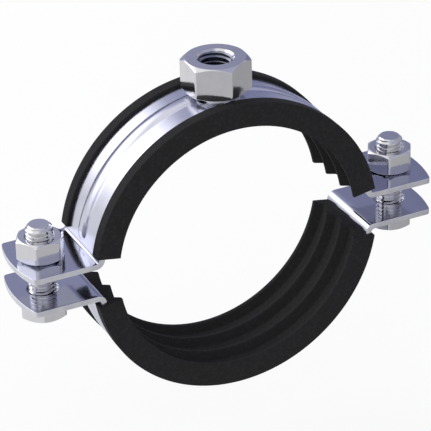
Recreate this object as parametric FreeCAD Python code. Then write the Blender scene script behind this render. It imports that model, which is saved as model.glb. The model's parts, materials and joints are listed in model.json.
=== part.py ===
import FreeCAD, Part
import math
import os

# Two-part pipe clamp: two folded steel halves with a rubber lining, a welded
# connection nut on top and two bolts with nuts through the ears.
# Frame: millimetres, origin at the centre of the pipe bore on the split plane,
# +X to the right ear, +Y along the pipe to its back edge, +Z to the connection nut.

# Pipe and rubber lining
pipe_diameter = 76.3
rib_height = 2.15
rubber_floor = 2.35
rib_crest = 0.9
rib_flank = 2.0
rib_spacing = 8.6
edge_crest = 1.2
edge_wall = 0.85
lip_height = 1.0
lip_width = 4.05
lip_round = 0.45
rib_round = 0.6
lining_end_gap = 0.78

# Steel band of each half
sheet = 1.75
band_width = 24.6
bend_radius = 1.0
split_gap = 8.7

# Stiffening bead pressed outward along the band
bead_width = 5.2
bead_height = 1.1
bead_offset = 0.8
bead_end_gap = 0.8
bead_foot_round = 0.7

# Ears
bolt_from_band = 12.3
ear_end = 9.0
ear_end_radius = 40.0
ear_hole_clearance = 0.6

# Bolts and nuts
thread_diameter = 8.0
bolt_length = 22.7
bolt_tip_chamfer = 0.75
head_height = 6.3
nut_height = 6.8
nut_wall = 2.4
nut_face_inset = 0.3
nut_mouth_chamfer = 0.45
nut_running_fit = 0.05
left_head_turn = 10.0
right_head_turn = 0.0

# Connection nut
boss_hole_diameter = 8.5
boss_wall = 4.75
boss_face_inset = 0.0
boss_height = 10.0
boss_mouth_chamfer = 1.05
boss_collar_wall = 2.55
boss_floor = 0.5
boss_turn = 30.0

# Corners of every hexagon: how much is turned off them, and the slope at the ends
corner_blunting = 0.14
corner_chamfer_angle = 30.0

# Worked-out values
bore_radius = pipe_diameter / 2
groove_radius = bore_radius + rib_height
band_inner = groove_radius + rubber_floor
band_outer = band_inner + sheet
lip_outer = band_outer + lip_height
half_band = band_width / 2
half_lining = half_band + edge_wall
ear_face = split_gap / 2
ear_back = ear_face + sheet
bolt_x = band_outer + bolt_from_band
ear_tip = bolt_x + ear_end
ear_hole = thread_diameter / 2 + ear_hole_clearance
bend_x = math.sqrt((band_outer + bend_radius) ** 2 - (ear_back + bend_radius) ** 2)
bend_z = ear_back + bend_radius
bend_angle = math.degrees(math.atan2(bend_z, bend_x))
bead_arc = ((bead_width / 2) ** 2 + bead_height ** 2) / (2 * bead_height)
bead_centre = band_outer + bead_height - bead_arc
bead_end_angle = bend_angle + math.degrees((bead_width / 2 + bead_end_gap) / band_outer)
bead_top = band_outer + bead_height
lining_end_angle = bend_angle + math.degrees(lining_end_gap / band_outer)
key_size = thread_diameter + 2 * nut_wall
boss_key_size = boss_hole_diameter + 2 * boss_wall
boss_bore = boss_hole_diameter / 2

# Two points closer than this are one
tolerance = 0.001

origin = FreeCAD.Vector(0, 0, 0)
x_axis = FreeCAD.Vector(1, 0, 0)
y_axis = FreeCAD.Vector(0, 1, 0)
z_axis = FreeCAD.Vector(0, 0, 1)


def polar(radius, angle, y=0.0):
    """Point at a radius and an angle about the pipe axis."""
    turn = math.radians(angle)
    return FreeCAD.Vector(radius * math.cos(turn), y, radius * math.sin(turn))


def arc_about(centre, radius, start, end, y):
    """Arc in an XZ plane about a centre given as (x, z)."""
    points = []
    for angle in (start, (start + end) / 2, end):
        points.append(polar(radius, angle, y) + FreeCAD.Vector(centre[0], 0, centre[1]))
    return Part.Arc(*points).toShape()


def line(start, end):
    return Part.LineSegment(start, end).toShape()


def core(radius):
    """Plain drum about the pipe axis, as wide as the band."""
    return Part.makeCylinder(radius, band_width, y_axis * -half_band, y_axis)


def sheet_profile(y):
    """Side view of one half: ear, bend, half circle, bend and ear, one sheet thick."""
    bend_out = bend_radius
    bend_in = bend_radius + sheet
    left = (-bend_x, bend_z)
    right = (bend_x, bend_z)
    corners = {}
    for side, sign in (("left", -1), ("right", 1)):
        corners[side] = [
            FreeCAD.Vector(sign * bend_x, y, ear_back),
            FreeCAD.Vector(sign * ear_tip, y, ear_back),
            FreeCAD.Vector(sign * ear_tip, y, ear_face),
            FreeCAD.Vector(sign * bend_x, y, ear_face),
        ]
    edges = []
    edges.append(arc_about((0, 0), band_outer, bend_angle, 180 - bend_angle, y))
    edges.append(arc_about(left, bend_out, -bend_angle, -90, y))
    edges.append(line(corners["left"][0], corners["left"][1]))
    edges.append(line(corners["left"][1], corners["left"][2]))
    edges.append(line(corners["left"][2], corners["left"][3]))
    edges.append(arc_about(left, bend_in, -90, -bend_angle, y))
    edges.append(arc_about((0, 0), band_inner, 180 - bend_angle, bend_angle, y))
    edges.append(arc_about(right, bend_in, 180 + bend_angle, 270, y))
    edges.append(line(corners["right"][3], corners["right"][2]))
    edges.append(line(corners["right"][2], corners["right"][1]))
    edges.append(line(corners["right"][1], corners["right"][0]))
    edges.append(arc_about(right, bend_out, 270, 180 + bend_angle, y))
    return Part.Face(Part.Wire(edges))


def ear_outline():
    """Plan view of a half: straight sides and ends rounded to a flat arc."""
    drop = ear_end_radius - math.sqrt(ear_end_radius ** 2 - half_band ** 2)
    side = ear_tip - drop
    low = -ear_face
    back_right = FreeCAD.Vector(side, half_band, low)
    front_right = FreeCAD.Vector(side, -half_band, low)
    front_left = FreeCAD.Vector(-side, -half_band, low)
    back_left = FreeCAD.Vector(-side, half_band, low)
    edges = [
        Part.Arc(back_right, FreeCAD.Vector(ear_tip, 0, low), front_right).toShape(),
        line(front_right, front_left),
        Part.Arc(front_left, FreeCAD.Vector(-ear_tip, 0, low), back_left).toShape(),
        line(back_left, back_right),
    ]
    height = band_outer + split_gap
    return Part.Face(Part.Wire(edges)).extrude(z_axis * height)


def bead_body(radius):
    """Round bar along the bead with ball ends, in the upper half."""
    centre = polar(bead_centre, bead_end_angle, bead_offset)
    tangent = y_axis.cross(polar(1, bead_end_angle))
    circle = Part.Wire(Part.makeCircle(radius, centre, tangent))
    sweep = 180 - 2 * bead_end_angle
    body = Part.Face(circle).revolve(origin, y_axis * -1, sweep)
    for angle in (bead_end_angle, 180 - bead_end_angle):
        ball = Part.makeSphere(radius, polar(bead_centre, angle, bead_offset))
        body = body.fuse(ball)
    return body


def bead_foot(body):
    """Edges where the bead rises from the outside of the band."""
    found = []
    for edge in body.Edges:
        middle = edge.valueAt((edge.FirstParameter + edge.LastParameter) / 2)
        on_band = abs(math.hypot(middle.x, middle.z) - band_outer) < tolerance
        near_bead = abs(middle.y - bead_offset) < bead_width / 2 + tolerance
        if on_band and near_bead:
            found.append(edge)
    return found


def band_half():
    """One folded steel half with its bead and bolt holes."""
    blank = sheet_profile(-half_band).extrude(y_axis * band_width)
    blank = blank.common(ear_outline())
    bead = bead_body(bead_arc).cut(core(band_inner + sheet / 2))
    body = blank.fuse(bead).removeSplitter()
    body = body.makeFillet(bead_foot_round, bead_foot(body))
    body = body.cut(bead_body(bead_arc - sheet))
    for side in (-1, 1):
        foot = FreeCAD.Vector(side * bolt_x, 0, 0)
        body = body.cut(Part.makeCylinder(ear_hole, ear_back + sheet, foot))
    return body


def lining_outline():
    """Section of the lining as (y, radius) points: channel, lips and inner ribs."""
    lip_inner = half_lining - lip_width
    outline = [
        (-half_band, band_inner),
        (-half_band, band_outer),
        (-lip_inner, band_outer),
        (-lip_inner, lip_outer),
        (-half_lining, lip_outer),
        (-half_lining, bore_radius),
        (-half_lining + edge_crest, bore_radius),
        (-half_lining + edge_crest + rib_flank, groove_radius),
    ]
    half_crest = rib_crest / 2
    for centre in (-rib_spacing / 2, rib_spacing / 2):
        outline.append((centre - half_crest - rib_flank, groove_radius))
        outline.append((centre - half_crest, bore_radius))
        outline.append((centre + half_crest, bore_radius))
        outline.append((centre + half_crest + rib_flank, groove_radius))
    outline += [
        (half_lining - edge_crest - rib_flank, groove_radius),
        (half_lining - edge_crest, bore_radius),
        (half_lining, bore_radius),
        (half_lining, lip_outer),
        (lip_inner, lip_outer),
        (lip_inner, band_outer),
        (half_band, band_outer),
        (half_band, band_inner),
    ]
    return outline


def lining_half():
    """Rubber lining of the upper half, snapped over the edges of the band."""
    points = [polar(radius, lining_end_angle, y) for y, radius in lining_outline()]
    face = Part.Face(Part.makePolygon(points + points[:1]))
    body = face.revolve(origin, y_axis * -1, 180 - 2 * lining_end_angle)
    lip_edges = []
    rib_edges = []
    for edge in body.Edges:
        start, end = (vertex.Point for vertex in edge.Vertexes)
        along_pipe = abs(start.y - end.y) < tolerance
        radius = math.hypot(start.x, start.z)
        if not along_pipe or abs(radius - math.hypot(end.x, end.z)) > tolerance:
            continue
        if abs(radius - lip_outer) < tolerance:
            lip_edges.append(edge)
        elif radius < groove_radius + tolerance and abs(start.y) < half_lining - tolerance:
            rib_edges.append(edge)
    return body.makeFillet(lip_round, lip_edges).makeFillet(rib_round, rib_edges)


def hexagon(key, inset, base, height, centre_x=0.0, turn=0.0):
    """Hexagon prism along Z: blunt corners, and end faces turned to a circle inside the flats."""
    corner = key / math.sqrt(3)
    blunt = corner - corner_blunting
    face = key / 2 - inset
    points = []
    for step in range(7):
        angle = math.radians(turn + 60 * step)
        points.append(FreeCAD.Vector(corner * math.cos(angle), corner * math.sin(angle), base))
    prism = Part.Face(Part.makePolygon(points)).extrude(z_axis * height)
    top = base + height
    drop = (blunt - face) * math.tan(math.radians(corner_chamfer_angle))
    profile = [
        FreeCAD.Vector(0, 0, base),
        FreeCAD.Vector(face, 0, base),
        FreeCAD.Vector(blunt, 0, base + drop),
        FreeCAD.Vector(blunt, 0, top - drop),
        FreeCAD.Vector(face, 0, top),
        FreeCAD.Vector(0, 0, top),
        FreeCAD.Vector(0, 0, base),
    ]
    turned = Part.Face(Part.makePolygon(profile)).revolve(origin, z_axis, 360)
    body = prism.common(turned)
    body.translate(FreeCAD.Vector(centre_x, 0, 0))
    return body


def bolt(centre_x, turn):
    """Hexagon bolt with its head under the lower ear and its tip up."""
    base = -ear_back - head_height
    head = hexagon(key_size, nut_face_inset, base, head_height, centre_x, turn)
    foot = FreeCAD.Vector(centre_x, 0, -ear_back)
    radius = thread_diameter / 2
    shank = Part.makeCylinder(radius, bolt_length - bolt_tip_chamfer, foot)
    tip_foot = foot + z_axis * (bolt_length - bolt_tip_chamfer)
    tip = Part.makeCone(radius, radius - bolt_tip_chamfer, bolt_tip_chamfer, tip_foot)
    return head.fuse([shank, tip]).removeSplitter()


def nut(centre_x):
    """Hexagon nut on the upper ear, two flats square to the pipe axis."""
    body = hexagon(key_size, nut_face_inset, ear_back, nut_height, centre_x)
    foot = FreeCAD.Vector(centre_x, 0, ear_back)
    bore = thread_diameter / 2 + nut_running_fit
    mouth = bore + nut_mouth_chamfer
    body = body.cut(Part.makeCylinder(bore, nut_height, foot))
    body = body.cut(Part.makeCone(mouth, bore, nut_mouth_chamfer, foot))
    upper = foot + z_axis * (nut_height - nut_mouth_chamfer)
    return body.cut(Part.makeCone(bore, mouth, nut_mouth_chamfer, upper))


def connection_nut():
    """Tapped hexagon boss that stands on the bead, closed below by its weld collar."""
    body = hexagon(boss_key_size, boss_face_inset, bead_top, boss_height, turn=boss_turn)
    collar_foot = FreeCAD.Vector(0, 0, band_inner)
    collar_radius = boss_bore + boss_collar_wall
    collar = Part.makeCylinder(collar_radius, bead_top - band_inner, collar_foot)
    body = body.fuse(collar)
    thread_foot = FreeCAD.Vector(0, 0, bead_top + boss_floor)
    body = body.cut(Part.makeCylinder(boss_bore, boss_height, thread_foot))
    rim = FreeCAD.Vector(0, 0, bead_top + boss_height - boss_mouth_chamfer)
    mouth = boss_bore + boss_mouth_chamfer
    body = body.cut(Part.makeCone(boss_bore, mouth, boss_mouth_chamfer, rim))
    return body.cut(core(band_outer)).cut(upper_band).removeSplitter()


def mirrored(shape):
    """The same form below the split plane."""
    return shape.mirror(origin, z_axis)


upper_band = band_half()
upper_lining = lining_half()
parts = {
    "upper_band": upper_band,
    "lower_band": mirrored(upper_band),
    "upper_lining": upper_lining,
    "lower_lining": mirrored(upper_lining),
    "connection_nut": connection_nut(),
    "bolt_left": bolt(-bolt_x, left_head_turn),
    "bolt_right": bolt(bolt_x, right_head_turn),
    "nut_left": nut(-bolt_x),
    "nut_right": nut(bolt_x),
}

os.makedirs("parts", exist_ok=True)
for name, shape in parts.items():
    shape.exportStep("parts/" + name + ".step")
    box = shape.BoundBox
    size = "%.2f x %.2f x %.2f" % (box.XLength, box.YLength, box.ZLength)
    print(name, "solids", len(shape.Solids), "volume %.1f" % shape.Volume, size, shape.isValid())
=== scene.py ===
"""Looks of a rubber-lined pipe clamp: two folded steel halves, two linings, a welded nut, bolts and nuts."""

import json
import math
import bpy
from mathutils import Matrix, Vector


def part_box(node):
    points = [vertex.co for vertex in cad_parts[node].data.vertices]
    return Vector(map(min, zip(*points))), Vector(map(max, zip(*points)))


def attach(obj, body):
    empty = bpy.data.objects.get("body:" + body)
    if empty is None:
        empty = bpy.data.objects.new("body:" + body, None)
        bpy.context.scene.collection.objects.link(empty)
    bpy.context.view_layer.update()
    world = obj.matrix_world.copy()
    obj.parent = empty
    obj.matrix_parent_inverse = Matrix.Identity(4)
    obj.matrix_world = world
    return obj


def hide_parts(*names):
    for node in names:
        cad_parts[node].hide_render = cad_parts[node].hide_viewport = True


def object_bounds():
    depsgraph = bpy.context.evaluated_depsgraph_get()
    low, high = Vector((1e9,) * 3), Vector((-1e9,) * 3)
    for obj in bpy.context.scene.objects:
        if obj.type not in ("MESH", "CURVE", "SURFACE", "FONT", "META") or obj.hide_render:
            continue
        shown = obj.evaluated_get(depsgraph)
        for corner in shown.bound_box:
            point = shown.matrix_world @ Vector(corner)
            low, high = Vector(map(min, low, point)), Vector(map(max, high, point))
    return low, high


bl_info = {
    "name": "Lined pipe clamp",
    "version": (1, 0, 0),
    "blender": (4, 5, 0),
    "location": "3D View > Sidebar > Pipe clamp",
    "description": "Builds the sheet, rubber and fastener pieces of a two-part pipe clamp",
    "category": "Object",
}

import bmesh
import bpy
from bpy.props import FloatProperty, FloatVectorProperty, PointerProperty
from mathutils import Matrix, Quaternion, Vector

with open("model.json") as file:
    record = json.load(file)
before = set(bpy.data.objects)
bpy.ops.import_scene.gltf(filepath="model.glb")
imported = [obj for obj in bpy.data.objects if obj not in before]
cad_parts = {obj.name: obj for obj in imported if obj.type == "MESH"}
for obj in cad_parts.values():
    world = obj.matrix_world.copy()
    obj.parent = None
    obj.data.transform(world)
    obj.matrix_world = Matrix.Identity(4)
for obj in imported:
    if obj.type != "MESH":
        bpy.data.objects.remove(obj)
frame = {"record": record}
cad_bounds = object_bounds()

MM = 0.001
CENTRE = Vector((0, 0, 0))
PIPE_AXIS = Vector((0, 1, 0))
UP = Vector((0, 0, 1))
# Points closer than this are one
MERGE = 1e-6
# How far off a line or a level a point may lie and still count as on it
NEAR = MERGE * 10
LEVEL = MERGE * 5
# Keeps an angle that should be on a corner from falling just short of it
ROUND_OFF = 1e-9

band_low, band_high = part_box("upper_band")
lining_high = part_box("upper_lining")[1]
nut_low, nut_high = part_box("nut_right")
bolt_low, bolt_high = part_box("bolt_right")
boss_low, boss_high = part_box("connection_nut")
bolt_x = (nut_low.x + nut_high.x) / 2

# Camera of the photo: where it looks, from how far, and how it is turned
CAMERA_AIM = Vector((-1.409, 0.0, 4.657)) * MM
CAMERA_DISTANCE = 756.586 * MM
CAMERA_AZIMUTH = -25.384
CAMERA_ELEVATION = 28.604
CAMERA_ROLL = -1.646
CAMERA_LENS = 216.36
SENSOR = 36.0

# Floor's side and its distance below the clamp in metres, and strength of the plain light
FLOOR_SIZE = 8.0
FLOOR_DROP = 0.03
PLAIN_LIGHT = 0.6
# Azimuth, elevation, reach, softness in degrees, and the tone there
STUDIO_SIDES = (
    (330, 52, 40, 12, "#b4b6cd"),
    (178, 17, 13, 8, "#b4b6cd"),
    (355, -20, 44, 35, "#979799"),
    (252, -20, 35, 25, "#b9b9bb"),
    (88, 2, 22, 12, "#c4c5d6"),
    (98, 6, 16, 10, "#a2a5bb"),
    (50, -2, 26, 14, "#8c8eae"),
    (62, 28, 28, 16, "#a6a8c2"),
    (46, 20, 14, 8, "#7f82a0"),
)
# Azimuth, elevation, distance, width, height and radiance of the key light
KEY_BOX = (137, 32, 0.9, 1.9, 1.04, 1.3)
# Corners of a ring, and how strongly they are drawn towards a hexagon's corners
RING_SIDES = 96
CORNER_DRAW = 1.6
# Shares of a hole's radius: half side of the square patch round it, and the loop of faces next to its rim
PATCH = 1.2
RIM_LOOP = 1.09
# Steps of the blank's mesh across the sheet: plain, beside the bead and over the bead
PLAIN_ROW = 1.6 * MM
NEAR_ROW = 1.0 * MM
BEAD_STEP = 0.24 * MM
# Steps along the sheet: on the arc, from bead to bend, round the bend, on the ear and past its hole
ARC_STEP = 1.3 * MM
PAST_BEAD_STEP = 0.5 * MM
BEND_STEP = 0.12 * MM
EAR_STEP = 1.0 * MM
HOLE_STEP = 0.9 * MM
# How far before the bead's end the fine steps start, and how far past the bend the flat ear counts as ear
BEAD_LEAD = 0.4 * MM
PAST_BEND = 1 * MM
# Angles between faces in degrees: cut corners that are rounded, turned corners that are rounded,
# and the largest angles that are shaded smoothly on a piece and on a thread
CUT_CORNER = 60
TURNED_CORNER = 24
SMOOTH = 50
SMOOTH_THREAD = 11
# How squarely a face points along the pipe to be a sheared edge, and how flat it lies to be an ear's face
EDGE_FACING = 0.8
EAR_FACING = 0.5
# Segments of the ear's rounded corners and of the lining's rounded corners
EAR_SEGMENTS = 6
LINING_SEGMENTS = 4
# Steps of the lining round the pipe and of a thread round its axis
LINING_STEPS = 96
THREAD_STEPS = 64
# Rounding where the rubber is cut off
RUBBER_CUT = 0.08 * MM
# Depth of an outer metric thread as a share of its pitch
THREAD_DEPTH = 0.6134
# Turns of thread drawn below its lower end, and spare turns in all, before both ends are cut level
THREAD_LEAD = 1.5
THREAD_SPARE = 3
# Dish in a bolt's head: shares of the face's radius at its bottom and rim, and its depth
DISH_BOTTOM = 0.55
DISH_RIM = 0.7
DISH_DEPTH = 0.15 * MM
# Rings under the weld collar as shares of its radius
COLLAR_RINGS = (0.02, 0.35, 0.7, 1.0)
# Zinc: size of its clouds, share of the roughness in the smoothest places, and strength of its grain
CLOUD = 3.2 * MM
SMOOTHEST = 0.6
ZINC_GRAIN = 0.35
# Width of the rolled lines, of the marks on a sheared edge and of the grain of cold-formed steel
ROLLED_LINE = 0.35 * MM
SHEAR_MARK = 0.3 * MM
FORGED_GRAIN = 0.4 * MM
# Roughness of the zinc on the rolled sheet, its arc, its sheared edges, the inner thread and the fasteners
ROLLED_ROUGHNESS = 0.12
ARC_ROUGHNESS = 0.28
SHEARED_ROUGHNESS = 0.3
THREAD_ROUGHNESS = 0.3
FORGED_ROUGHNESS = 0.11
# Depth of the zinc's marks in millimetres, and of the fainter ones on the flat sheet
MARK_DEPTH = 0.02
ROLLED_DEPTH = 0.007
# Marks per metre along the rolled lines and through a sheared edge
ALONG_LINE = 120
ALONG_SHEAR = 400
# Rubber: size of the bloom's specks and where they start and are full, size, strength and depth of the grain
BLOOM = 0.9 * MM
BLOOM_START = 0.45
BLOOM_FULL = 0.75
RUBBER_GRAIN = 0.25 * MM
RUBBER_GRAIN_STRENGTH = 0.5
RUBBER_GRAIN_DEPTH = 0.04 * MM
# Rubber's gloss
RUBBER_ROUGHNESS = 0.72
RUBBER_SPECULAR = 0.16
# What a mirror shows of the floor: how much of its light is its own, and its tones
FLOOR_GLOW = 0.8
FLOOR_GLOW_TONE = "#e8e8e9"
FLOOR_FAINT_TONE = "#8c8c8c"
# Lightest tone of the studio in a mirror, and tone of its plain light
STUDIO_WHITE = "#ffffff"
PLAIN_LIGHT_TONE = "#f4f5f8"
# Where the key light, fading from its edge, is full
KEY_FULL = 0.7


def mount(name):
    """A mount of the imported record."""
    return next(m for m in frame["record"]["mounts"] if m["name"] == name)


def body_with(node):
    """The body that a node belongs to."""
    groups = frame["record"]["behaviour"]["bodies"]
    return next(body for body, members in groups.items() if node in members)


def linear(hex_colour):
    """A colour written as sRGB hex, as linear red, green, blue and alpha."""
    channels = []
    for start in (1, 3, 5):
        value = int(hex_colour[start:start + 2], 16) / 255
        channels.append(value / 12.92 if value <= 0.04045 else ((value + 0.055) / 1.055) ** 2.4)
    return (*channels, 1.0)


def length(name, description, default):
    """A length property in metres, given in millimetres."""
    return FloatProperty(
        name=name, description=description, default=default * MM, precision=5,
        unit="LENGTH", subtype="DISTANCE",
    )


def angle(name, description, default):
    """An angle property, given in degrees."""
    return FloatProperty(name=name, description=description, default=math.radians(default), subtype="ANGLE")


def colour(name, description, hex_colour):
    """A colour property, given as sRGB hex."""
    return FloatVectorProperty(
        name=name, description=description, default=linear(hex_colour), size=4, min=0, max=1, subtype="COLOR"
    )


class ClampSheetSizes(bpy.types.PropertyGroup):
    """The folded sheet of one half."""

    thickness: length("Thickness", "Thickness of the steel sheet", 1.75)
    bend_radius: length("Bend", "Radius on the outer side of the bend between band and ear", 1.0)
    lip_height: length("Lip height", "How far the rubber lip stands over the band", 1.0)
    ear_end_radius: length("Ear end", "Radius of the flat arc at the ear's end", 40.0)
    ear_corner: length("Ear corner", "Radius of the ear's two corners", 0.9)
    ear_hole: length("Ear hole", "Radius of the bolt hole", 4.6)
    bead_width: length("Bead width", "Width of the pressed bead", 5.2)
    bead_height: length("Bead height", "Height of the pressed bead", 0.75)
    bead_offset: length("Bead offset", "Bead's distance from the middle of the band, to the back", 0.8)
    bead_end_gap: length("Bead end", "From the bend to the end of the bead", 0.8)
    bead_foot: length("Bead foot", "Radius where the bead rises from the band", 1.8)
    edge: length("Edge", "Rounding of the sheared edges", 0.14)


class ClampRubberSizes(bpy.types.PropertyGroup):
    """The ribbed lining of one half."""

    rib_height: length("Rib height", "Height of the inner ribs", 2.15)
    rib_crest: length("Rib crest", "Width of a rib's crest", 0.9)
    rib_flank: length("Rib flank", "Width of a rib's flank", 2.0)
    rib_spacing: length("Rib spacing", "Between the two middle ribs", 8.6)
    edge_crest: length("Edge rib", "Width of the crest at each edge", 1.2)
    lip_width: length("Lip width", "Width of the lip over the band", 4.05)
    lip_round: length("Lip rounding", "Rounding of the lip's corners", 0.45)
    rib_round: length("Rib rounding", "Length taken off each side of a rib's corners", 0.32)
    corner: length("Corner", "Rounding of the other corners", 0.2)
    end_gap: length("End gap", "From the bend to the cut end of the rubber", 0.78)


class ClampFastenerSizes(bpy.types.PropertyGroup):
    """Bolts, nuts and the connection nut."""

    pitch: length("Pitch", "Pitch of the bolt's thread", 1.25)
    thread: length("Thread", "Outer radius of the bolt's thread", 4.0)
    tip_chamfer: length("Tip", "Chamfer at the bolt's tip", 1.05)
    face_inset: length("Face inset", "How far the turned end faces lie inside the flats", 0.3)
    foot_inset: length("Foot inset", "How far the face that a nut stands on lies inside the flats", 0.75)
    blunting: length("Blunting", "How much is turned off the corners", 0.14)
    chamfer: angle("Chamfer", "Slope of the corner chamfers from the end faces", 30.0)
    mouth: length("Nut mouth", "Chamfer at the mouth of a nut", 0.28)
    running_fit: length("Running fit", "Between the bore of a nut and the thread", 0.05)
    left_head_turn: angle("Left head", "Turn of the left bolt's head", 10.0)
    edge: length("Edge", "Rounding of the corners of nuts and heads", 0.12)
    boss_pitch: length("Connection pitch", "Pitch of the connection thread", 1.5)
    boss_thread: length("Connection thread", "Outer radius of the connection thread", 5.0)
    boss_mouth: length("Connection mouth", "Chamfer at the mouth of the connection thread", 1.3)
    boss_floor: length("Connection floor", "Thickness left under the connection thread", 0.5)
    boss_inset: length("Connection face", "How far its end faces lie inside the flats", 0.3)
    boss_start: angle("Connection thread start", "Turn of the connection thread about its axis", -46.0)
    collar: length("Collar", "Radius of the weld collar", 6.8)


class ClampColours(bpy.types.PropertyGroup):
    """Colours of the finishes."""

    sheet: colour("Sheet", "Zinc on the folded sheet", "#c5c6d3")
    sheet_shade: colour("Sheet shade", "Darker places of the zinc on the sheet", "#bbbdcb")
    # The arc's two colours are lighter than the sheet's: painted light that brightens the band.
    arc: colour("Arc", "Zinc on the rolled arc of the sheet", "#d8d9e6")
    arc_shade: colour("Arc shade", "Darker places of the zinc on the arc", "#cecfdd")
    # The cut edges' near-white colour is a painted highlight.
    sheared: colour("Sheared edge", "Zinc on the cut edges of the sheet", "#f8f8fb")
    # The inner thread's two colours are painted shade down in the connection thread.
    groove: colour("Inner thread", "Thin zinc in the connection thread", "#8e91a0")
    groove_shade: colour("Inner thread shade", "Darker places of that thin zinc", "#7f8290")
    fastener: colour("Fastener", "Zinc on the bolts and nuts", "#e4e4e6")
    fastener_shade: colour("Fastener shade", "Darker places of the zinc on the bolts and nuts", "#d6d6d9")
    rubber: colour("Rubber", "Black rubber", "#29292a")
    rubber_bloom: colour("Rubber bloom", "Paler specks on the rubber", "#333335")
    floor: colour("Floor", "Pale floor", "#ececec")


def sizes_of(context):
    """The sheet, rubber and fastener sizes of the scene."""
    scene = context.scene
    return scene.clamp_sheet, scene.clamp_rubber, scene.clamp_fastener


class Half:
    """Radii, heights and angles of one half that follow from its sizes, in metres and radians."""

    def __init__(self, sheet, rubber):
        self.outer = lining_high.z - sheet.lip_height
        self.inner = self.outer - sheet.thickness
        self.lip = lining_high.z
        self.bore = mount("pipe_bore")["dims"]["r_mm"] * MM
        self.ear_face = band_low.z
        self.ear_back = band_low.z + sheet.thickness
        self.tip = band_high.x
        self.half_width = band_high.y
        self.bend_z = self.ear_back + sheet.bend_radius
        self.bend_angle = math.asin(self.bend_z / (self.outer + sheet.bend_radius))
        self.bend_x = self.bend_z / math.tan(self.bend_angle)
        self.arc_length = self.outer * (math.pi / 2 - self.bend_angle)
        self.bend_length = sheet.bend_radius * (math.pi / 2 - self.bend_angle)
        self.bead_end = self.arc_length - sheet.bead_width / 2 - sheet.bead_end_gap
        self.lining_end = self.bend_angle + rubber.end_gap / self.outer


def bead_crest(sheet):
    """Radius of the bead's round crest."""
    return ((sheet.bead_width / 2) ** 2 + sheet.bead_height ** 2) / (2 * sheet.bead_height)


def bead_reach(sheet):
    """Distance from the bead's centre line to where its round foot meets the band."""
    crest = bead_crest(sheet)
    foot = sheet.bead_foot
    return math.sqrt((crest + foot) ** 2 - (foot + crest - sheet.bead_height) ** 2)


def bead_rise(sheet, distance):
    """Height of the bead's surface at a distance from its centre line: a round crest on a round foot."""
    height = sheet.bead_height
    crest = bead_crest(sheet)
    foot = sheet.bead_foot
    reach = bead_reach(sheet)
    if distance >= reach:
        return 0.0
    if distance <= reach * crest / (crest + foot):
        return math.sqrt(crest ** 2 - distance ** 2) - (crest - height)
    return foot - math.sqrt(foot ** 2 - (reach - distance) ** 2)


def even_steps(start, end, step):
    """Places from start to just before end, about a step apart."""
    count = max(1, round((end - start) / step))
    return [start + (end - start) * k / count for k in range(count)]


def blank_rows(half, sheet):
    """Places of the blank's rows across its width, close together at the bead."""
    reach = bead_reach(sheet)
    bead_low = sheet.bead_offset - reach
    bead_high = sheet.bead_offset + reach
    patch = sheet.ear_hole * PATCH
    rows = even_steps(-half.half_width, -patch, PLAIN_ROW)
    rows += even_steps(-patch, bead_low, NEAR_ROW)
    rows += even_steps(bead_low, bead_high, BEAD_STEP)
    rows += even_steps(bead_high, patch, NEAR_ROW)
    rows += even_steps(patch, half.half_width, PLAIN_ROW)
    return rows + [half.half_width]


def blank_columns(half, sheet):
    """Places of the blank's columns along its unrolled length, close together at bead ends and bends."""
    bead_stop = half.bead_end + bead_reach(sheet)
    bend_stop = half.arc_length + half.bend_length
    flat = bend_stop - half.bend_x
    patch = sheet.ear_hole * PATCH
    columns = even_steps(0, half.bead_end - BEAD_LEAD, ARC_STEP)
    columns += even_steps(half.bead_end - BEAD_LEAD, bead_stop, BEAD_STEP)
    columns += even_steps(bead_stop, half.arc_length, PAST_BEAD_STEP)
    columns += even_steps(half.arc_length, bend_stop, BEND_STEP)
    columns += even_steps(bend_stop, flat + bolt_x - patch, EAR_STEP)
    columns += even_steps(flat + bolt_x - patch, flat + bolt_x + patch, HOLE_STEP)
    columns += [flat + bolt_x + patch, flat + half.tip]
    return [-place for place in reversed(columns[1:])] + columns


def cut_blank(bm, half, sheet):
    """Flat blank with rounded ends and two punched holes, unrolled along X."""
    rows = blank_rows(half, sheet)
    columns = blank_columns(half, sheet)
    bmesh.ops.create_grid(bm, x_segments=len(columns) - 1, y_segments=len(rows) - 1, size=1)
    for vert in bm.verts:
        column = round((vert.co.x + 1) / 2 * (len(columns) - 1))
        row = round((vert.co.y + 1) / 2 * (len(rows) - 1))
        vert.co = Vector((columns[column], rows[row], 0))
    tip = columns[-1]
    for vert in bm.verts:
        if abs(vert.co.x) > tip - MERGE:
            drop = sheet.ear_end_radius - math.sqrt(sheet.ear_end_radius ** 2 - vert.co.y ** 2)
            vert.co.x -= math.copysign(drop, vert.co.x)
    hole_x = tip - half.tip + bolt_x
    for side in (-1, 1):
        punch_hole(bm, Vector((side * hole_x, 0, 0)), sheet.ear_hole)


def punch_hole(bm, centre, radius):
    """Opens a square patch of the blank and draws its rim in to a round hole."""
    patch = radius * PATCH
    inside = []
    for face in bm.faces:
        place = face.calc_center_median() - centre
        if max(abs(place.x), abs(place.y)) < patch:
            inside.append(face)
    before = set(bm.edges)
    bmesh.ops.delete(bm, geom=inside, context="FACES")
    rim = [e for e in before if e.is_valid and e.is_boundary and near_patch(e, centre, patch)]
    for reach in (radius * RIM_LOOP, radius):
        drawn = bmesh.ops.extrude_edge_only(bm, edges=rim)["geom"]
        rim = [item for item in drawn if isinstance(item, bmesh.types.BMEdge)]
        for vert in [item for item in drawn if isinstance(item, bmesh.types.BMVert)]:
            vert.co = centre + (vert.co - centre).normalized() * reach


def near_patch(edge, centre, patch):
    """Whether both ends of an edge lie on the rim of a square patch."""
    for vert in edge.verts:
        place = vert.co - centre
        if abs(max(abs(place.x), abs(place.y)) - patch) > NEAR:
            return False
    return True


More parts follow.
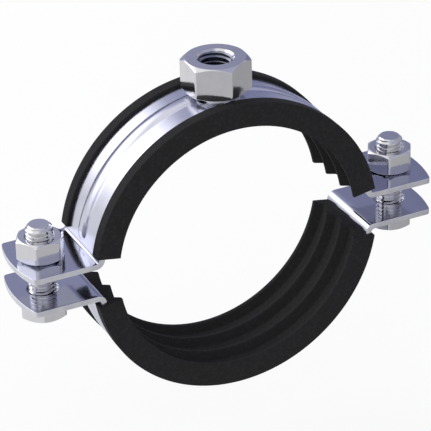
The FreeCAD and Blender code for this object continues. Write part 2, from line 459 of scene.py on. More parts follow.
def press_bead(bm, half, sheet):
    """Raises the bead from the flat blank."""
    for vert in bm.verts:
        beyond = max(0.0, abs(vert.co.x) - half.bead_end)
        vert.co.z = bead_rise(sheet, math.hypot(beyond, vert.co.y - sheet.bead_offset))


def fold_blank(bm, half, sheet):
    """Rolls the blank round the pipe and folds its ears out."""
    for vert in bm.verts:
        side = math.copysign(1, vert.co.x)
        along = abs(vert.co.x)
        if along <= half.arc_length:
            turn = math.pi / 2 - along / half.outer
            normal = Vector((math.cos(turn), 0, math.sin(turn)))
            place = normal * half.outer
        elif along <= half.arc_length + half.bend_length:
            turn = math.pi + half.bend_angle + (along - half.arc_length) / sheet.bend_radius
            normal = Vector((-math.cos(turn), 0, -math.sin(turn)))
            place = Vector((half.bend_x, 0, half.bend_z)) - normal * sheet.bend_radius
        else:
            normal = UP.copy()
            place = Vector((half.bend_x + along - half.arc_length - half.bend_length, 0, half.ear_back))
        place += normal * vert.co.z
        vert.co = Vector((side * place.x, vert.co.y, place.z))


def sharp_edges(bm, degrees):
    """Edges whose faces meet at more than an angle."""
    limit = math.radians(degrees)
    return [e for e in bm.edges if e.is_manifold and e.calc_face_angle(0) > limit]


def soften(bm, edges, width, segments=2):
    """Rounds edges to a small radius."""
    bmesh.ops.bevel(
        bm, geom=edges, offset=width, offset_type="OFFSET", segments=segments,
        profile=0.5, affect="EDGES", material=-1, clamp_overlap=True,
    )


def crease(bm, degrees):
    """Shades smoothly, but keeps the edges where faces meet at more than an angle."""
    for face in bm.faces:
        face.smooth = True
    limit = math.radians(degrees)
    for edge in bm.edges:
        edge.smooth = edge.is_manifold and edge.calc_face_angle(0) < limit


def ear_corners(bm, half, sheet):
    """The four upright edges at the corners of the ears."""
    end = half.tip - sheet.ear_end_radius + math.sqrt(sheet.ear_end_radius ** 2 - half.half_width ** 2)
    found = []
    for edge in bm.edges:
        middle = (edge.verts[0].co + edge.verts[1].co) / 2
        upright = abs(edge.verts[0].co.z - edge.verts[1].co.z) > sheet.thickness / 2
        if upright and abs(middle.x) > end - NEAR and abs(middle.y) > half.half_width - NEAR:
            found.append(edge)
    return found


def mark_finishes(bm, half):
    """Gives cut edges and the walls of holes the second material, with its painted highlight, and the rolled
    arc the third, painted lighter.
    """
    bm.normal_update()
    for face in bm.faces:
        place = face.calc_center_median()
        on_ear = abs(place.x) > half.bend_x + PAST_BEND
        if abs(face.normal.y) > EDGE_FACING or (on_ear and abs(face.normal.z) < EAR_FACING):
            face.material_index = 1
        elif place.z > half.bend_z:
            face.material_index = 2


def build_band(half, sheet, sign):
    """One folded half. A sign of -1 gives the lower one."""
    bm = bmesh.new()
    cut_blank(bm, half, sheet)
    press_bead(bm, half, sheet)
    fold_blank(bm, half, sheet)
    bmesh.ops.recalc_face_normals(bm, faces=bm.faces)
    top = max(bm.faces, key=lambda f: f.calc_center_median().z)
    if top.normal.z < 0:
        bmesh.ops.reverse_faces(bm, faces=bm.faces)
    bm.normal_update()
    bmesh.ops.solidify(bm, geom=bm.faces[:], thickness=sheet.thickness)
    soften(bm, ear_corners(bm, half, sheet), sheet.ear_corner, EAR_SEGMENTS)
    soften(bm, sharp_edges(bm, CUT_CORNER), sheet.edge)
    crease(bm, SMOOTH)
    mark_finishes(bm, half)
    if sign < 0:
        bmesh.ops.scale(bm, vec=(1, 1, -1), verts=bm.verts)
    return bm


def lining_section(half, sheet, rubber):
    """Corners of the lining's section as (across, radius, rounding)."""
    side = lining_high.y
    groove = half.bore + rubber.rib_height
    lip_inner = side - rubber.lip_width
    channel = half.half_width
    small = rubber.corner
    soft = rubber.rib_round
    corners = [
        (-channel, half.inner, 0),
        (-channel, half.outer, 0),
        (-lip_inner, half.outer, 0),
        (-lip_inner, half.lip, rubber.lip_round),
        (-side, half.lip, rubber.lip_round),
        (-side, half.bore, small),
        (-side + rubber.edge_crest, half.bore, soft),
        (-side + rubber.edge_crest + rubber.rib_flank, groove, soft),
    ]
    crest = rubber.rib_crest / 2
    for centre in (-rubber.rib_spacing / 2, rubber.rib_spacing / 2):
        corners.append((centre - crest - rubber.rib_flank, groove, soft))
        corners.append((centre - crest, half.bore, soft))
        corners.append((centre + crest, half.bore, soft))
        corners.append((centre + crest + rubber.rib_flank, groove, soft))
    mirrored = [(-across, radius, rounding) for across, radius, rounding in corners[:8]]
    return corners + list(reversed(mirrored))


def build_lining(half, sheet, rubber, sign):
    """One rubber lining, its section turned about the pipe axis."""
    bm = bmesh.new()
    turn = half.lining_end
    verts = []
    roundings = {}
    for across, radius, rounding in lining_section(half, sheet, rubber):
        vert = bm.verts.new((radius * math.cos(turn), across, radius * math.sin(turn)))
        verts.append(vert)
        roundings.setdefault(round(rounding, 6), []).append(vert)
    bm.faces.new(verts)
    for rounding, group in roundings.items():
        if rounding > 0:
            bmesh.ops.bevel(
                bm, geom=group, offset=rounding, offset_type="OFFSET", segments=LINING_SEGMENTS,
                profile=0.5, affect="VERTICES", material=-1,
            )
    sweep = math.pi - 2 * turn
    geom = bm.verts[:] + bm.edges[:]
    spun = bmesh.ops.spin(
        bm, geom=geom, cent=CENTRE, axis=-PIPE_AXIS, angle=sweep, steps=LINING_STEPS, use_duplicate=False
    )
    last = [item for item in spun["geom_last"] if isinstance(item, bmesh.types.BMEdge)]
    bmesh.ops.contextual_create(bm, geom=last)
    bmesh.ops.recalc_face_normals(bm, faces=bm.faces)
    soften(bm, sharp_edges(bm, CUT_CORNER), RUBBER_CUT)
    crease(bm, SMOOTH)
    if sign < 0:
        bmesh.ops.scale(bm, vec=(1, 1, -1), verts=bm.verts)
    return bm


def hexagon_reach(turn, key, blunting):
    """Distance from the axis to a hexagon's side at an angle, with turned corners every sixth of a turn."""
    from_flat = abs(turn % (math.pi / 3) - math.pi / 6)
    return min(key / 2 / math.cos(from_flat), key / math.sqrt(3) - blunting)


def towards_corners(turn):
    """Moves an evenly spaced angle towards the nearest corner, so that the corners are drawn finely."""
    sixth = math.pi / 3
    start = math.floor(turn / sixth + ROUND_OFF) * sixth
    from_flat = (turn - start) / (sixth / 2) - 1
    moved = math.copysign(1 - (1 - abs(from_flat)) ** CORNER_DRAW, from_flat)
    return start + (moved + 1) * sixth / 2


def stack_rings(bm, rings):
    """Skin over a stack of rings, each a function from angle to radius and height. Gives the first ring."""
    verts = bmesh.ops.create_circle(bm, segments=RING_SIDES, radius=1.0)["verts"]
    turns = {}
    for vert in verts:
        turn = math.atan2(vert.co.y, vert.co.x) % (2 * math.pi)
        step = round(turn / (2 * math.pi) * RING_SIDES) % RING_SIDES
        turns[vert] = towards_corners(step * 2 * math.pi / RING_SIDES)
    edges = [e for e in bm.edges if all(v in turns for v in e.verts)]
    first = list(edges)
    for index, ring in enumerate(rings):
        if index:
            pairs = dict((tuple(v.co), turn) for v, turn in turns.items())
            drawn = bmesh.ops.extrude_edge_only(bm, edges=edges)["geom"]
            edges = [item for item in drawn if isinstance(item, bmesh.types.BMEdge)]
            new = [item for item in drawn if isinstance(item, bmesh.types.BMVert)]
            turns = {vert: pairs[tuple(vert.co)] for vert in new}
        for vert, turn in turns.items():
            radius, height = ring(turn)
            vert.co = Vector((radius * math.cos(turn), radius * math.sin(turn), height))
    return first


def circle_ring(radius, height):
    """A plain round ring."""
    return lambda turn: (radius, height)


def hexagon_ring(key, fastener, inset, height, sign):
    """The ring where a hexagon's side meets its turned end: it dips towards the corners."""
    slope = math.tan(fastener.chamfer)

    def ring(turn):
        reach = hexagon_reach(turn, key, fastener.blunting)
        drop = max(0.0, reach - (key / 2 - inset)) * slope
        return reach, height - sign * drop

    return ring


# One pitch of a thread: share of the pitch, and depth from the crest (0) to the root (1)
THREAD_SECTION = (
    (0.0, 0.0), (0.07, 0.0), (0.14, 0.0), (0.23, 0.25), (0.32, 0.5), (0.41, 0.75),
    (0.5, 1.0), (0.57, 1.0), (0.64, 1.0), (0.73, 0.75), (0.82, 0.5), (0.91, 0.25),
)


def thread_column(bm, crest, root, pitch, start, turns):
    """Section of a thread up one side, from crest to root and back for each turn."""
    verts = []
    for step in range(turns):
        for share, depth in THREAD_SECTION:
            height = start + (step + share) * pitch
            radius = crest + (root - crest) * depth
            verts.append(bm.verts.new((radius, 0, height)))
    edges = [bm.edges.new(pair) for pair in zip(verts, verts[1:])]
    return verts + edges


def cut_thread(crest, root, pitch, low, high, limit):
    """Thread between two heights, as a skin turned up its own helix. limit changes a radius near an end."""
    bm = bmesh.new()
    turns = math.ceil((high - low) / pitch) + THREAD_SPARE
    column = thread_column(bm, crest, root, pitch, low - THREAD_LEAD * pitch, turns)
    bmesh.ops.spin(
        bm, geom=column, cent=CENTRE, axis=UP, dvec=UP * (pitch / THREAD_STEPS),
        angle=2 * math.pi, steps=THREAD_STEPS, use_duplicate=False,
    )
    bmesh.ops.remove_doubles(bm, verts=bm.verts, dist=MERGE)
    for height, direction in ((low, -UP), (high, UP)):
        geom = bm.verts[:] + bm.edges[:] + bm.faces[:]
        bmesh.ops.bisect_plane(
            bm, geom=geom, plane_co=UP * height, plane_no=direction, clear_outer=True, dist=MERGE
        )
    for vert in bm.verts:
        radius = math.hypot(vert.co.x, vert.co.y)
        wanted = limit(radius, vert.co.z)
        vert.co.x *= wanted / radius
        vert.co.y *= wanted / radius
    crease(bm, SMOOTH_THREAD)
    return bm


def open_rim(bm, height):
    """Open edges that lie at a height."""
    found = []
    for edge in bm.edges:
        level = all(abs(v.co.z - height) < LEVEL for v in edge.verts)
        if edge.is_boundary and level:
            found.append(edge)
    return found


def join(bm, other):
    """Adds another bmesh to this one."""
    mesh = bpy.data.meshes.new("joined")
    other.to_mesh(mesh)
    other.free()
    bm.from_mesh(mesh)
    bpy.data.meshes.remove(mesh)


def fill_between(bm, height):
    """Flat face between all open rims at a height."""
    bmesh.ops.triangle_fill(bm, edges=open_rim(bm, height), use_beauty=True, normal=UP)


def build_bolt(fastener, centre_x, turn):
    """Hexagon bolt, threaded up to its head."""
    key = fastener_key(fastener)
    seat = -nut_low.z
    base = bolt_low.z
    face = key / 2 - fastener.face_inset
    bm = bmesh.new()
    rings = [
        circle_ring(face * DISH_BOTTOM, base + DISH_DEPTH),
        circle_ring(face * DISH_RIM, base),
        circle_ring(face, base),
        hexagon_ring(key, fastener, fastener.face_inset, base, -1),
        hexagon_ring(key, fastener, fastener.face_inset, seat, 1),
        circle_ring(face, seat),
    ]
    first = stack_rings(bm, rings)
    bmesh.ops.contextual_create(bm, geom=first)
    soften(bm, sharp_edges(bm, TURNED_CORNER), fastener.edge)
    bmesh.ops.rotate(bm, cent=CENTRE, matrix=Matrix.Rotation(turn, 3, "Z"), verts=bm.verts)
    crease(bm, SMOOTH)
    tip = bolt_high.z
    depth = THREAD_DEPTH * fastener.pitch
    taper = fastener.thread - fastener.tip_chamfer

    def limit(radius, height):
        return min(radius, taper + (tip - height))

    shank = cut_thread(
        fastener.thread, fastener.thread - depth, fastener.pitch, seat, tip, limit
    )
    bmesh.ops.contextual_create(shank, geom=open_rim(shank, tip))
    join(bm, shank)
    fill_between(bm, seat)
    bmesh.ops.recalc_face_normals(bm, faces=bm.faces)
    bmesh.ops.translate(bm, vec=(centre_x, 0, 0), verts=bm.verts)
    return bm


def fastener_key(fastener):
    """Width over flats of nuts and heads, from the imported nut's width over its corners."""
    return (nut_high.x - nut_low.x + 2 * fastener.blunting) * math.sqrt(3) / 2


def build_nut(fastener, centre_x):
    """Hexagon nut with turned faces and a chamfered mouth at both ends."""
    key = fastener_key(fastener)
    face = key / 2 - fastener.face_inset
    foot = key / 2 - fastener.foot_inset
    bore = fastener.thread + fastener.running_fit
    mouth = bore + fastener.mouth
    low, high = nut_low.z, nut_high.z
    bm = bmesh.new()
    rings = [
        circle_ring(bore, low + fastener.mouth),
        circle_ring(mouth, low),
        circle_ring(foot, low),
        hexagon_ring(key, fastener, fastener.foot_inset, low, -1),
        hexagon_ring(key, fastener, fastener.face_inset, high, 1),
        circle_ring(face, high),
        circle_ring(mouth, high),
        circle_ring(bore, high - fastener.mouth),
        circle_ring(bore, low + fastener.mouth),
    ]
    stack_rings(bm, rings)
    bmesh.ops.remove_doubles(bm, verts=bm.verts, dist=MERGE)
    bmesh.ops.recalc_face_normals(bm, faces=bm.faces)
    soften(bm, sharp_edges(bm, TURNED_CORNER), fastener.edge)
    crease(bm, SMOOTH)
    bmesh.ops.translate(bm, vec=(centre_x, 0, 0), verts=bm.verts)
    return bm


def build_boss(fastener, half, sheet):
    """Connection nut on the bead: hexagon, countersunk thread and weld collar on the band."""
    key = boss_high.x - boss_low.x
    face = key / 2 - fastener.boss_inset
    seat = band_high.z
    top = boss_high.z
    bore = mount("connection_thread")["dims"]["r_mm"] * MM
    mouth = bore + fastener.boss_mouth
    floor = seat + fastener.boss_floor

    def on_band(radius):
        def ring(turn):
            x = radius * math.cos(turn)
            y = radius * math.sin(turn)
            surface = half.outer + bead_rise(sheet, abs(y - sheet.bead_offset))
            return radius, math.sqrt(surface ** 2 - x ** 2)
        return ring

    bm = bmesh.new()
    rings = [on_band(fastener.collar * share) for share in COLLAR_RINGS]
    rings += [
        circle_ring(fastener.collar, seat),
        circle_ring(face, seat),
        hexagon_ring(key, fastener, fastener.boss_inset, seat, -1),
        hexagon_ring(key, fastener, fastener.boss_inset, top, 1),
        circle_ring(face, top),
    ]
    first = stack_rings(bm, rings)
    bmesh.ops.contextual_create(bm, geom=first)
    above_seat = [e for e in sharp_edges(bm, TURNED_CORNER) if min(v.co.z for v in e.verts) > seat - MERGE]
    soften(bm, above_seat, fastener.edge)
    bmesh.ops.rotate(bm, cent=CENTRE, matrix=Matrix.Rotation(math.pi / 6, 3, "Z"), verts=bm.verts)
    crease(bm, SMOOTH)

    def limit(radius, height):
        return max(radius, mouth - (top - height))

    hole = cut_thread(bore, fastener.boss_thread, fastener.boss_pitch, floor, top, limit)
    bmesh.ops.contextual_create(hole, geom=open_rim(hole, floor))
    bmesh.ops.rotate(hole, cent=CENTRE, matrix=Matrix.Rotation(fastener.boss_start, 3, "Z"), verts=hole.verts)
    # Faces below the countersink take the darker thread zinc: painted shade in the hole.
    for face in hole.faces:
        if face.calc_center_median().z < top - (mouth - fastener.boss_thread):
            face.material_index = 1
    join(bm, hole)
    fill_between(bm, top)
    bmesh.ops.recalc_face_normals(bm, faces=bm.faces)
    return bm


def node(tree, kind, links=None, **settings):
    """Adds a node, gives it its settings and input values, and links the named inputs to other outputs."""
    made = tree.nodes.new(kind)
    for name, value in settings.items():
        setattr(made, name, value)
    for name, source in (links or {}).items():
        if isinstance(name, str):
            socket = next(s for s in made.inputs if s.name == name and s.enabled)
        else:
            socket = made.inputs[name]
        if isinstance(source, bpy.types.NodeSocket):
            tree.links.new(source, socket)
        else:
            socket.default_value = source
    return made


def new_material(name):
    """An empty material with its shader and output."""
    material = bpy.data.materials.new(name)
    material.use_nodes = True
    tree = material.node_tree
    tree.nodes.clear()
    shader = node(tree, "ShaderNodeBsdfPrincipled")
    node(tree, "ShaderNodeOutputMaterial", {"Surface": shader.outputs["BSDF"]})
    return material, tree, shader


def bright_zinc(name, colour_main, colour_shade, lines, roughest, depth=MARK_DEPTH):
    """Bright zinc plate on steel: a clear metal mirror, softened by fine marks of its surface.

    The eye sees sharp reflections with a slight cloud in them, and colour that shifts a little from place to
    place. depth is that of the marks, in millimetres.
    """
    material, tree, shader = new_material(name)
    place = node(tree, "ShaderNodeTexCoord").outputs["Object"]
    cloud = node(tree, "ShaderNodeTexNoise", {"Vector": place, "Scale": 1 / CLOUD, "Detail": 3.0})
    mix = node(
        tree, "ShaderNodeMix", {"Factor": cloud.outputs["Fac"], "A": colour_shade, "B": colour_main},
        data_type="RGBA",
    )
    tree.links.new(mix.outputs["Result"], shader.inputs["Base Color"])
    shader.inputs["Metallic"].default_value = 1.0
    gloss = node(
        tree, "ShaderNodeMapRange",
        {"Value": cloud.outputs["Fac"], "To Min": roughest * SMOOTHEST, "To Max": roughest},
    )
    tree.links.new(gloss.outputs["Result"], shader.inputs["Roughness"])
    grain_place = node(tree, "ShaderNodeMapping", {"Vector": place, "Scale": lines})
    grain = node(
        tree, "ShaderNodeTexNoise", {"Vector": grain_place.outputs["Vector"], "Scale": 1.0, "Detail": 2.0}
    )
    bump = node(
        tree, "ShaderNodeBump",
        {"Height": grain.outputs["Fac"], "Strength": ZINC_GRAIN, "Distance": depth * MM},
    )
    tree.links.new(bump.outputs["Normal"], shader.inputs["Normal"])
    return material


def black_rubber(colours):
    """Extruded black rubber: matt, nearly black, with a fine grain and a faint pale bloom."""
    material, tree, shader = new_material("extruded_black_rubber")
    place = node(tree, "ShaderNodeTexCoord").outputs["Object"]
    bloom = node(tree, "ShaderNodeTexNoise", {"Vector": place, "Scale": 1 / BLOOM, "Detail": 4.0})
    share = node(
        tree, "ShaderNodeMapRange",
        {"Value": bloom.outputs["Fac"], "From Min": BLOOM_START, "From Max": BLOOM_FULL},
    )
    mix = node(
        tree, "ShaderNodeMix",
        {"Factor": share.outputs["Result"], "A": colours.rubber, "B": colours.rubber_bloom}, data_type="RGBA",
    )
    tree.links.new(mix.outputs["Result"], shader.inputs["Base Color"])
    shader.inputs["Roughness"].default_value = RUBBER_ROUGHNESS
    shader.inputs["Specular IOR Level"].default_value = RUBBER_SPECULAR
    grain = node(tree, "ShaderNodeTexNoise", {"Vector": place, "Scale": 1 / RUBBER_GRAIN, "Detail": 2.0})
    bump = node(
        tree, "ShaderNodeBump",
        {"Height": grain.outputs["Fac"], "Strength": RUBBER_GRAIN_STRENGTH, "Distance": RUBBER_GRAIN_DEPTH},
    )
    tree.links.new(bump.outputs["Normal"], shader.inputs["Normal"])
    return material


def sheared_zinc_painted_highlight(colours):
    """Zinc on the sheared edges and punched holes: duller, with short marks across the sheet, and coloured
    near white as a painted highlight along the edges.
    """
    marks = (1 / SHEAR_MARK, 1 / SHEAR_MARK, ALONG_SHEAR)
    return bright_zinc("zinc_on_sheared_edge_painted_highlight", colours.sheared, colours.sheet, marks, SHEARED_ROUGHNESS)


def thread_zinc_painted_shade(colours):
    """Zinc down in the connection thread: dull, and coloured much darker than the nut as painted shade in the
    hole, so its grooves look dark.
    """
    grain = 1 / FORGED_GRAIN
    return bright_zinc(
        "zinc_in_inner_thread_painted_shade", colours.groove, colours.groove_shade, (grain, grain, grain), THREAD_ROUGHNESS
    )


def rolled_zinc(colours):
    """Zinc on cold-rolled sheet: lines along the strip, a few tenths of a millimetre apart."""
    lines = (ALONG_LINE, 1 / ROLLED_LINE, ALONG_LINE)
    return bright_zinc(
        "zinc_on_rolled_sheet", colours.sheet, colours.sheet_shade, lines, ROLLED_ROUGHNESS, ROLLED_DEPTH
    )


def arc_zinc_painted_lighter(colours):
    """Zinc on the arc that the rollers have dulled, with the same lines, so that reflections are softer; its
    colour is painted lighter than the ears' so that the band reads brighter.
    """
    lines = (ALONG_LINE, 1 / ROLLED_LINE, ALONG_LINE)
    return bright_zinc("zinc_on_rolled_arc_painted_lighter", colours.arc, colours.arc_shade, lines, ARC_ROUGHNESS)


def forged_zinc(colours):
    """Zinc on cold-formed nuts and bolts: a fine even grain with no direction."""
    made = bpy.data.materials.get("zinc_on_cold_formed_steel")
    if made:
        return made
    grain = 1 / FORGED_GRAIN
    return bright_zinc(
        "zinc_on_cold_formed_steel", colours.fastener, colours.fastener_shade, (grain, grain, grain),
        FORGED_ROUGHNESS,
    )


def finish_piece(bm, name, materials, nodename):
    """Makes the object, and says what it rides on, stands for and takes its finish from."""
    bmesh.ops.remove_doubles(bm, verts=bm.verts, dist=MERGE)
    bmesh.ops.recalc_face_normals(bm, faces=bm.faces)
    mesh = bpy.data.meshes.new(name)
    bm.to_mesh(mesh)
    bm.free()
    for material in materials:
        mesh.materials.append(material)
    piece = bpy.data.objects.new(name, mesh)
    bpy.context.scene.collection.objects.link(piece)
    weighted = piece.modifiers.new("even_faces", "WEIGHTED_NORMAL")
    weighted.keep_sharp = True
    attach(piece, body_with(nodename))
    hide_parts(nodename)
    return piece


class CLAMP_OT_bands(bpy.types.Operator):
    """Build the two folded steel halves"""

    bl_idname = "clamp.bands"
    bl_label = "Steel halves"

    def execute(self, context):
        sheet = context.scene.clamp_sheet
        half = Half(sheet, context.scene.clamp_rubber)
        colours = context.scene.clamp_colours
        materials = (rolled_zinc(colours), sheared_zinc_painted_highlight(colours), arc_zinc_painted_lighter(colours))
        for name, nodename, sign in (("upper_sheet", "upper_band", 1), ("lower_sheet", "lower_band", -1)):
            finish_piece(build_band(half, sheet, sign), name, materials, nodename)
        return {"FINISHED"}


class CLAMP_OT_linings(bpy.types.Operator):
    """Build the two rubber linings"""

    bl_idname = "clamp.linings"
    bl_label = "Rubber linings"

    def execute(self, context):
        sheet = context.scene.clamp_sheet
        rubber = context.scene.clamp_rubber
        half = Half(sheet, rubber)
        material = black_rubber(context.scene.clamp_colours)
        for name, nodename, sign in (
            ("upper_rubber", "upper_lining", 1),
            ("lower_rubber", "lower_lining", -1),
        ):
            finish_piece(build_lining(half, sheet, rubber, sign), name, (material,), nodename)
        return {"FINISHED"}


class CLAMP_OT_bolts(bpy.types.Operator):
    """Build the two hexagon bolts"""

    bl_idname = "clamp.bolts"
    bl_label = "Bolts"

    def execute(self, context):
        fastener = context.scene.clamp_fastener
        material = forged_zinc(context.scene.clamp_colours)
        for name, nodename, centre_x, turn in (
            ("left_bolt", "bolt_left", -bolt_x, fastener.left_head_turn),
            ("right_bolt", "bolt_right", bolt_x, 0.0),
        ):
            finish_piece(build_bolt(fastener, centre_x, turn), name, (material,), nodename)
        return {"FINISHED"}


class CLAMP_OT_nuts(bpy.types.Operator):
    """Build the two hexagon nuts"""

    bl_idname = "clamp.nuts"
    bl_label = "Nuts"

    def execute(self, context):
        fastener = context.scene.clamp_fastener
        material = forged_zinc(context.scene.clamp_colours)
        for name, nodename, centre_x in (
            ("left_nut", "nut_left", -bolt_x),
            ("right_nut", "nut_right", bolt_x),
        ):
            finish_piece(build_nut(fastener, centre_x), name, (material,), nodename)
        return {"FINISHED"}


class CLAMP_OT_connection_nut(bpy.types.Operator):
    """Build the welded connection nut"""

    bl_idname = "clamp.connection_nut"
    bl_label = "Connection nut"

    def execute(self, context):
        sheet, rubber, fastener = sizes_of(context)
        half = Half(sheet, rubber)
        colours = context.scene.clamp_colours
        materials = (forged_zinc(colours), thread_zinc_painted_shade(colours))
        boss = build_boss(fastener, half, sheet)
        finish_piece(boss, "welded_nut", materials, "connection_nut")
        return {"FINISHED"}


def build_floor(colours):
    """Wide pale floor that stays white for the camera but keeps a soft shadow."""
    bm = bmesh.new()
    bmesh.ops.create_grid(bm, x_segments=1, y_segments=1, size=FLOOR_SIZE / 2)
    bmesh.ops.translate(bm, vec=(0, 0, cad_bounds[0].z - FLOOR_DROP), verts=bm.verts)
    mesh = bpy.data.meshes.new("floor")
    bm.to_mesh(mesh)
    bm.free()
    floor = bpy.data.objects.new("floor", mesh)
    bpy.context.scene.collection.objects.link(floor)
    material = bpy.data.materials.new("pale_floor")
    material.use_nodes = True
    tree = material.node_tree
    tree.nodes.clear()
    seen = seen_by_camera(tree)
    place = node(tree, "ShaderNodeTexCoord").outputs["Object"]
    towards = node(tree, "ShaderNodeVectorMath", {"Vector": place}, operation="NORMALIZE").outputs["Vector"]
    paint = node(tree, "ShaderNodeBsdfDiffuse", {"Color": colours.floor})
    faint = node(tree, "ShaderNodeBsdfDiffuse", {"Color": linear(FLOOR_FAINT_TONE)})
    mirrored = studio_tone(tree, towards, FLOOR_GLOW_TONE)
    glow = node(tree, "ShaderNodeEmission", {"Color": mirrored, "Strength": FLOOR_GLOW})
    lit = node(tree, "ShaderNodeAddShader")
    tree.links.new(faint.outputs["BSDF"], lit.inputs[0])
    tree.links.new(glow.outputs["Emission"], lit.inputs[1])
    mix = node(tree, "ShaderNodeMixShader", {"Fac": seen})
    tree.links.new(paint.outputs["BSDF"], mix.inputs[1])
    tree.links.new(lit.outputs["Shader"], mix.inputs[2])
    node(tree, "ShaderNodeOutputMaterial", {"Surface": mix.outputs["Shader"]})
    mesh.materials.append(material)


def seen_by_camera(tree):
    """1 for a ray from the camera or one that a metal or glass reflects or lets through, else 0."""
    path = node(tree, "ShaderNodeLightPath")
    found = path.outputs["Is Camera Ray"]
    for name in ("Is Glossy Ray", "Is Transmission Ray"):
        larger = node(tree, "ShaderNodeMath", operation="MAXIMUM")
        tree.links.new(found, larger.inputs[0])
        tree.links.new(path.outputs[name], larger.inputs[1])
        found = larger.outputs["Value"]
    return found


def direction(azimuth, elevation):
    """Unit vector at an azimuth from +X towards +Y and an elevation, both in degrees."""
    turn = math.radians(azimuth)
    rise = math.radians(elevation)
    return Vector((math.cos(turn) * math.cos(rise), math.sin(turn) * math.cos(rise), math.sin(rise)))


def studio_tone(tree, towards, lightest):
    """Tone of the studio in a direction: plain white for the camera, with soft darker sides for a mirror."""
    shade = linear(lightest)
    for azimuth, elevation, reach, soft, tone in STUDIO_SIDES:
        dot = node(
            tree, "ShaderNodeVectorMath", {0: towards, 1: direction(azimuth, elevation)},
            operation="DOT_PRODUCT",
        )
        inside = node(
            tree, "ShaderNodeMapRange",
            {
                "Value": dot.outputs["Value"],
                "From Min": math.cos(math.radians(reach + soft)),
                "From Max": math.cos(math.radians(reach - soft)),
            },
            interpolation_type="SMOOTHSTEP",
        )
        mix = node(
            tree, "ShaderNodeMix", {"Factor": inside.outputs["Result"], "A": shade, "B": linear(tone)},
            data_type="RGBA",
        )
        shade = mix.outputs["Result"]
    path = node(tree, "ShaderNodeLightPath")
    plain = node(
        tree, "ShaderNodeMix", {"Factor": path.outputs["Is Camera Ray"], "A": shade, "B": (1, 1, 1, 1)},
        data_type="RGBA",
    )
    return plain.outputs["Result"]


def build_world():
    """White studio: plain light all round, and soft tones that the metal mirrors."""
    world = bpy.data.worlds.new("studio")
    bpy.context.scene.world = world
    world.use_nodes = True
    tree = world.node_tree
    tree.nodes.clear()
    towards = node(tree, "ShaderNodeTexCoord").outputs["Generated"]
    shown = node(
        tree, "ShaderNodeBackground", {"Color": studio_tone(tree, towards, STUDIO_WHITE), "Strength": 1.0}
    )
    light = node(tree, "ShaderNodeBackground", {"Color": linear(PLAIN_LIGHT_TONE), "Strength": PLAIN_LIGHT})
    mix = node(
        tree, "ShaderNodeMixShader",
        {"Fac": seen_by_camera(tree), 1: light.outputs["Background"], 2: shown.outputs["Background"]},
    )
    node(tree, "ShaderNodeOutputWorld", {"Surface": mix.outputs["Shader"]})


def build_lamp(name, azimuth, elevation, distance, width, height, radiance):
    """Soft box that faces the clamp and fades towards its edges. Its middle has the given radiance."""
    light = bpy.data.lights.new(name, "AREA")
    light.use_nodes = True
    tree = light.node_tree
    tree.nodes.clear()
    place = node(tree, "ShaderNodeNewGeometry").outputs["Parametric"]
    centred = node(tree, "ShaderNodeMapping", {"Vector": place, "Location": (-1, -1, 0), "Scale": (2, 2, 0)})
    fade = node(
        tree, "ShaderNodeTexGradient", {"Vector": centred.outputs["Vector"]}, gradient_type="SPHERICAL"
    )
    edge = node(
        tree, "ShaderNodeMapRange", {"Value": fade.outputs["Fac"], "From Min": 0.0, "From Max": KEY_FULL},
        interpolation_type="SMOOTHSTEP",
    )
    glow = node(tree, "ShaderNodeEmission", {"Strength": edge.outputs["Result"]})
    node(tree, "ShaderNodeOutputLight", {"Surface": glow.outputs["Emission"]})
    light.shape = "RECTANGLE"
    light.size = width
    light.size_y = height
    light.energy = radiance * math.pi * width * height
    lamp = bpy.data.objects.new(name, light)
    bpy.context.scene.collection.objects.link(lamp)
    stand = direction(azimuth, elevation) * distance
    lamp.matrix_world = Matrix.Translation(stand) @ stand.to_track_quat("Z", "Y").to_matrix().to_4x4()
    lamp.visible_camera = False


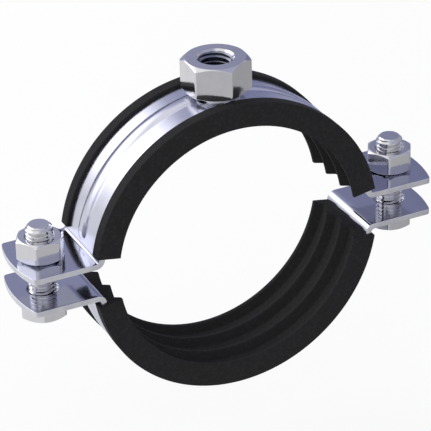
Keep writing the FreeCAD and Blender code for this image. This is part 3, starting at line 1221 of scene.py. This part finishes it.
def build_camera():
    """Camera at the photo's viewing angle."""
    turn = math.radians(CAMERA_AZIMUTH)
    rise = math.radians(CAMERA_ELEVATION)
    back = Vector((math.sin(turn) * math.cos(rise), -math.cos(turn) * math.cos(rise), math.sin(rise)))
    data = bpy.data.cameras.new("camera")
    data.sensor_fit = "HORIZONTAL"
    data.sensor_width = SENSOR
    data.lens = CAMERA_LENS
    camera = bpy.data.objects.new("camera", data)
    bpy.context.scene.collection.objects.link(camera)
    aim = (-back).to_track_quat("-Z", "Y") @ Quaternion((0, 0, 1), math.radians(CAMERA_ROLL))
    camera.matrix_world = Matrix.Translation(CAMERA_AIM + back * CAMERA_DISTANCE) @ aim.to_matrix().to_4x4()
    bpy.context.scene.camera = camera


class CLAMP_OT_stage(bpy.types.Operator):
    """Set up the floor, the light and the camera"""

    bl_idname = "clamp.stage"
    bl_label = "Studio"

    def execute(self, context):
        build_floor(context.scene.clamp_colours)
        build_world()
        build_lamp("key_box", *KEY_BOX)
        build_camera()
        context.scene.view_settings.view_transform = "Standard"
        return {"FINISHED"}


class CLAMP_PT_panel(bpy.types.Panel):
    """Sizes, colours and steps of the clamp"""

    bl_idname = "CLAMP_PT_panel"
    bl_label = "Pipe clamp"
    bl_space_type = "VIEW_3D"
    bl_region_type = "UI"
    bl_category = "Pipe clamp"

    def draw(self, context):
        for group in (*sizes_of(context), context.scene.clamp_colours):
            box = self.layout.box()
            for name in group.__annotations__:
                box.prop(group, name)
        for operator in OPERATORS:
            self.layout.operator(operator.bl_idname)


OPERATORS = (
    CLAMP_OT_stage, CLAMP_OT_bands, CLAMP_OT_linings, CLAMP_OT_bolts, CLAMP_OT_nuts, CLAMP_OT_connection_nut,
)
GROUPS = {
    "clamp_sheet": ClampSheetSizes,
    "clamp_rubber": ClampRubberSizes,
    "clamp_fastener": ClampFastenerSizes,
    "clamp_colours": ClampColours,
}


def register():
    """Registers the property groups, operators and panel."""
    for name, group in GROUPS.items():
        bpy.utils.register_class(group)
        setattr(bpy.types.Scene, name, PointerProperty(type=group))
    for operator in OPERATORS:
        bpy.utils.register_class(operator)
    bpy.utils.register_class(CLAMP_PT_panel)


def unregister():
    """Removes what register added."""
    bpy.utils.unregister_class(CLAMP_PT_panel)
    for operator in reversed(OPERATORS):
        bpy.utils.unregister_class(operator)
    for name, group in GROUPS.items():
        delattr(bpy.types.Scene, name)
        bpy.utils.unregister_class(group)


def main():
    """Builds the scene in order."""
    register()
    bpy.ops.clamp.stage()
    bpy.ops.clamp.bands()
    bpy.ops.clamp.linings()
    bpy.ops.clamp.bolts()
    bpy.ops.clamp.nuts()
    bpy.ops.clamp.connection_nut()


if __name__ == "__main__":
    main()
